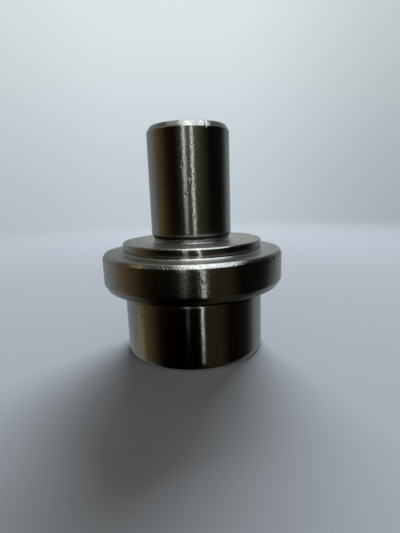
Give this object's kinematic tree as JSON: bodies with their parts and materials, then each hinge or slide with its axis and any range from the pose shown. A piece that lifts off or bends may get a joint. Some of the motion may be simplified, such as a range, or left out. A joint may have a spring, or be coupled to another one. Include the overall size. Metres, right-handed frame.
{
  "type": "stepped shaft",
  "caption": "Short ground steel shaft turned in one piece: a thick journal, a wide collar, a raised locating shoulder and a slim spigot.",
  "frame": {"origin": "centre of the journal's end face, which the shaft stands on", "axes": "+Z along the shaft's axis, from the journal towards the spigot; X and Y are any two directions across it"},
  "size_m": [0.045, 0.045, 0.0545],
  "materials": {
    "ground_steel": "ground on the diameters, finely turned on the flat faces, a few small pits"
  },
  "bodies": {
    "root": {"stepped_shaft": "ground_steel"}
  },
  "joints": []
}
